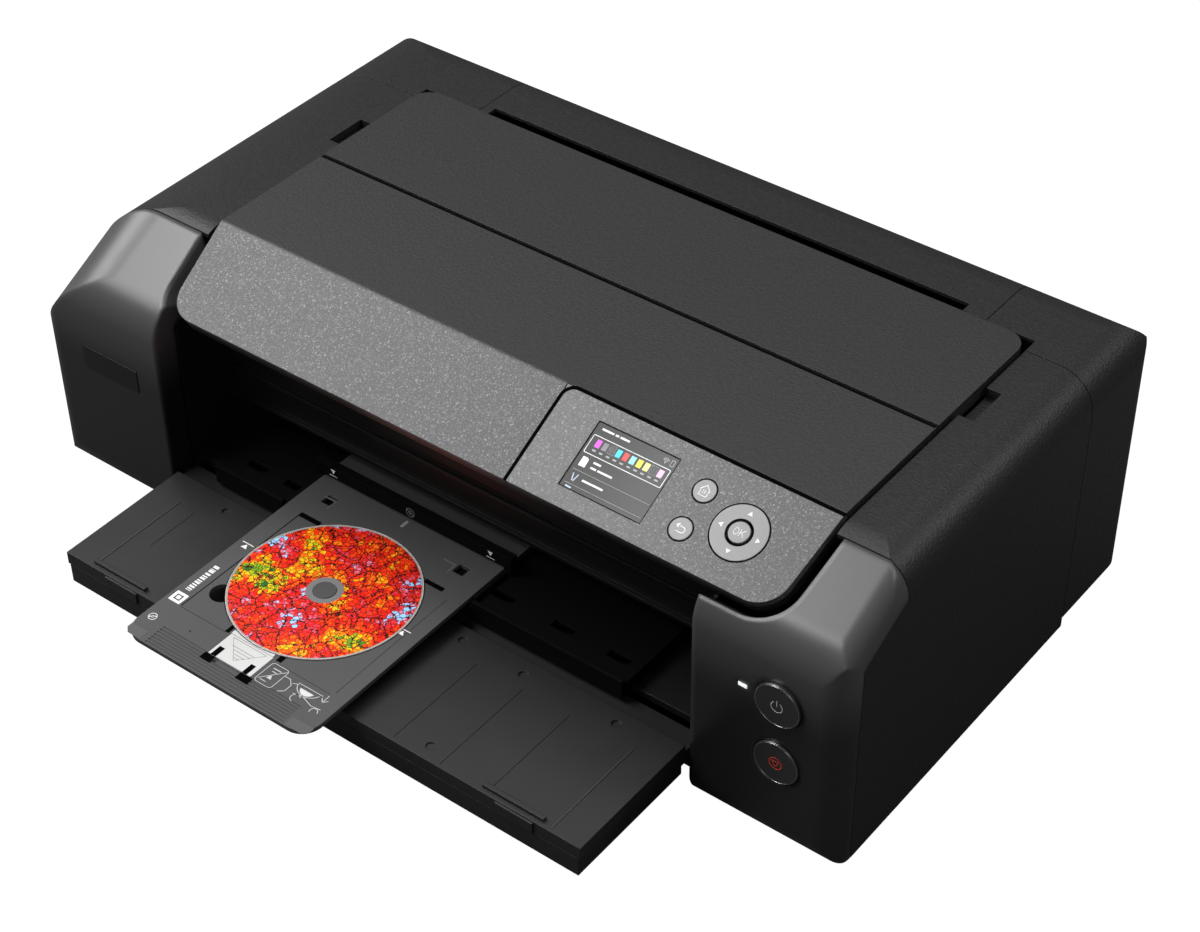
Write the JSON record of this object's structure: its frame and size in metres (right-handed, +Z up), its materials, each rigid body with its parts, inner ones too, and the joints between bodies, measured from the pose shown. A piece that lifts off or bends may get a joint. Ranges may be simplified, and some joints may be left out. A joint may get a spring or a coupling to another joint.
{
  "type": "disc label printer",
  "caption": "Wide desktop photo printer with a sloping lid and control panel, a front output tray and a disc tray carrying a label disc.",
  "frame": {"origin": "on the table under the middle of the printer with its disc tray out", "axes": "+X to the right of someone facing the front, +Y to the back, +Z up"},
  "size_m": [0.6194, 0.468, 0.2],
  "materials": {
    "grained_plastic": "fine leather grain, satin",
    "dark_plastic": "moulded, satin",
    "silver_plastic": "fine metallic fleck paint",
    "tray_plastic": "moulded, satin",
    "white_plastic": "moulded",
    "grey_plastic": "moulded",
    "screen_glass": "clear gloss over a dark display",
    "lamp_lens": "translucent",
    "label_print": "printed label on a disc",
    "zinc_steel": "zinc plated",
    "rubber": "matte",
    "tank_plastic": "moulded",
    "board": "solder mask"
  },
  "bodies": {
    "printer": {"left_cheek_cover": "dark_plastic", "right_cheek_cover": "dark_plastic", "left_side_cover": "grained_plastic", "right_side_cover": "grained_plastic", "rear_cover": "grained_plastic", "base_pan": "dark_plastic", "rubber_feet": "rubber", "casing_screws": "zinc_steel", "left_inner_wall": "dark_plastic", "right_inner_wall": "dark_plastic", "front_beam": "dark_plastic", "top_frame": "zinc_steel", "hinge_pins": "zinc_steel", "main_frame": "zinc_steel", "guide_shaft": "zinc_steel", "platen": "dark_plastic", "paper_exit_guide": "dark_plastic", "disc_tray_guide": "dark_plastic", "carriage_belt": "rubber", "carriage_motor": "zinc_steel", "feed_motor": "zinc_steel", "feed_belt": "rubber", "capping_unit": "dark_plastic", "maintenance_cartridge": "dark_plastic", "power_supply": "dark_plastic", "main_board": "board", "power_inlet": "dark_plastic", "interface_ports": "zinc_steel", "rear_paper_chute": "dark_plastic", "power_lamp": "lamp_lens", "front_plate": "zinc_steel"},
    "lid": {"access_cover": "silver_plastic", "operation_panel": "silver_plastic", "screen_window": "screen_glass", "screen_module": "dark_plastic"},
    "rear_tray_cover": {"rear_tray_cover": "grained_plastic"},
    "manual_feed_cover": {"manual_feed_cover": "grained_plastic"},
    "output_tray": {"output_tray": "tray_plastic"},
    "output_tray_extension": {"output_tray_extension": "dark_plastic"},
    "disc_tray": {"disc_tray": "tray_plastic"},
    "disc_tray_clip": {"disc_tray_clip": "white_plastic"},
    "label_disc": {"label_disc": "label_print"},
    "power_button": {"power_button": "dark_plastic"},
    "stop_button": {"stop_button": "dark_plastic"},
    "home_button": {"home_button": "grey_plastic"},
    "back_button": {"back_button": "grey_plastic"},
    "ok_button": {"ok_button": "grey_plastic"},
    "navigation_ring": {"navigation_ring": "grey_plastic"},
    "carriage": {"print_carriage": "dark_plastic", "print_head": "dark_plastic", "ink_tanks": "tank_plastic"},
    "drive_pulley": {"drive_pulley": "zinc_steel"},
    "idler_pulley": {"idler_pulley": "zinc_steel"},
    "feed_roller": {"feed_roller": "zinc_steel"},
    "eject_roller": {"eject_roller": "dark_plastic"},
    "feed_motor_pulley": {"feed_motor_pulley": "zinc_steel"},
    "pinch_rollers": {"pinch_rollers": "dark_plastic"},
    "star_wheels": {"star_wheels": "dark_plastic"}
  },
  "joints": [
    {"name": "access_cover_hinge", "type": "hinge", "parent": "printer", "child": "lid", "pos_m": [0.02125, 0.056, 0.1945], "axis": [-1, 0, 0], "range_deg": [0, 75]},
    {"name": "rear_tray_cover_hinge", "type": "hinge", "parent": "printer", "child": "rear_tray_cover", "pos_m": [0.02125, 0.163, 0.195], "axis": [-1, 0, 0], "range_deg": [0, 105]},
    {"name": "manual_feed_hinge", "type": "hinge", "parent": "printer", "child": "manual_feed_cover", "pos_m": [0.03325, 0.2285, 0.0645], "axis": [-1, 0, 0], "range_deg": [0, 30]},
    {"name": "output_tray_fold", "type": "hinge", "parent": "printer", "child": "output_tray", "pos_m": [0.00405, -0.088, 0.037], "axis": [-1, 0, 0], "range_deg": [0, 2.5]},
    {"name": "output_tray_extension_slide", "type": "slide", "parent": "output_tray", "child": "output_tray_extension", "axis": [0, -1, 0], "range_m": [0, 0.08]},
    {"name": "disc_tray_slide", "type": "slide", "parent": "printer", "child": "disc_tray", "axis": [0, 1, 0], "range_m": [0, 0.12]},
    {"name": "disc_lift", "type": "slide", "parent": "disc_tray", "child": "label_disc", "axis": [0, 0, -1], "range_m": [-0.012, 0]},
    {"name": "disc_tray_clip_slide", "type": "slide", "parent": "disc_tray", "child": "disc_tray_clip", "axis": [0, -1, 0], "range_m": [0, 0.004]},
    {"name": "power_button_press", "type": "slide", "parent": "printer", "child": "power_button", "axis": [0, 1, 0], "range_m": [0, 0.0012], "stiffness_N_per_m": 600},
    {"name": "stop_button_press", "type": "slide", "parent": "printer", "child": "stop_button", "axis": [0, 1, 0], "range_m": [0, 0.0012], "stiffness_N_per_m": 600},
    {"name": "home_button_press", "type": "slide", "parent": "lid", "child": "home_button", "axis": [0, 0.4695, -0.8829], "range_m": [0, 0.0008], "stiffness_N_per_m": 500},
    {"name": "back_button_press", "type": "slide", "parent": "lid", "child": "back_button", "axis": [0, 0.4695, -0.8829], "range_m": [0, 0.0008], "stiffness_N_per_m": 500},
    {"name": "ok_button_press", "type": "slide", "parent": "lid", "child": "ok_button", "axis": [0, 0.4695, -0.8829], "range_m": [0, 0.0008], "stiffness_N_per_m": 500},
    {"name": "navigation_ring_tilt", "type": "hinge", "parent": "lid", "child": "navigation_ring", "pos_m": [0.21285, -0.05949, 0.18232], "axis": [1, 0, 0], "range_deg": [-2.5, 2.5], "stiffness_Nm_per_rad": 0.4},
    {"name": "carriage_slide", "type": "slide", "parent": "printer", "child": "carriage", "axis": [1, 0, 0], "range_m": [-0.4, 0]},
    {"name": "drive_pulley_turn", "type": "hinge", "parent": "printer", "child": "drive_pulley", "pos_m": [-0.25175, 0.135, 0.135], "axis": [0, 1, 0], "range_deg": [0, 2590]},
    {"name": "idler_pulley_turn", "type": "hinge", "parent": "printer", "child": "idler_pulley", "pos_m": [0.27025, 0.135, 0.135], "axis": [0, 1, 0], "range_deg": [0, 2590]},
    {"name": "feed_roller_turn", "type": "hinge", "parent": "printer", "child": "feed_roller", "pos_m": [-0.00975, 0.08, 0.048], "axis": [1, 0, 0], "range_deg": [-982.2, 0]},
    {"name": "eject_roller_turn", "type": "hinge", "parent": "printer", "child": "eject_roller", "pos_m": [-0.00975, 0.005, 0.049], "axis": [1, 0, 0], "range_deg": [-1148, 0]},
    {"name": "feed_motor_turn", "type": "hinge", "parent": "printer", "child": "feed_motor_pulley", "pos_m": [-0.27575, 0.04, 0.026], "axis": [1, 0, 0], "range_deg": [-2296, 0]},
    {"name": "pinch_rollers_turn", "type": "hinge", "parent": "printer", "child": "pinch_rollers", "pos_m": [-0.00975, 0.08, 0.063], "axis": [1, 0, 0], "range_deg": [0, 1722]},
    {"name": "star_wheels_turn", "type": "hinge", "parent": "printer", "child": "star_wheels", "pos_m": [-0.00975, 0.005, 0.0646], "axis": [1, 0, 0], "range_deg": [0, 1722]}
  ],
  "couplings": [
    {"joint": "drive_pulley_turn", "follows": "carriage_slide", "rad_per_m": -112.99},
    {"joint": "idler_pulley_turn", "follows": "carriage_slide", "rad_per_m": -112.99},
    {"joint": "disc_tray_slide", "follows": "feed_roller_turn", "m_per_rad": -0.007},
    {"joint": "eject_roller_turn", "follows": "feed_roller_turn", "ratio": 1.1667},
    {"joint": "feed_motor_turn", "follows": "feed_roller_turn", "ratio": 2.3333},
    {"joint": "pinch_rollers_turn", "follows": "feed_roller_turn", "ratio": -1.75},
    {"joint": "star_wheels_turn", "follows": "feed_roller_turn", "ratio": -1.75}
  ]
}
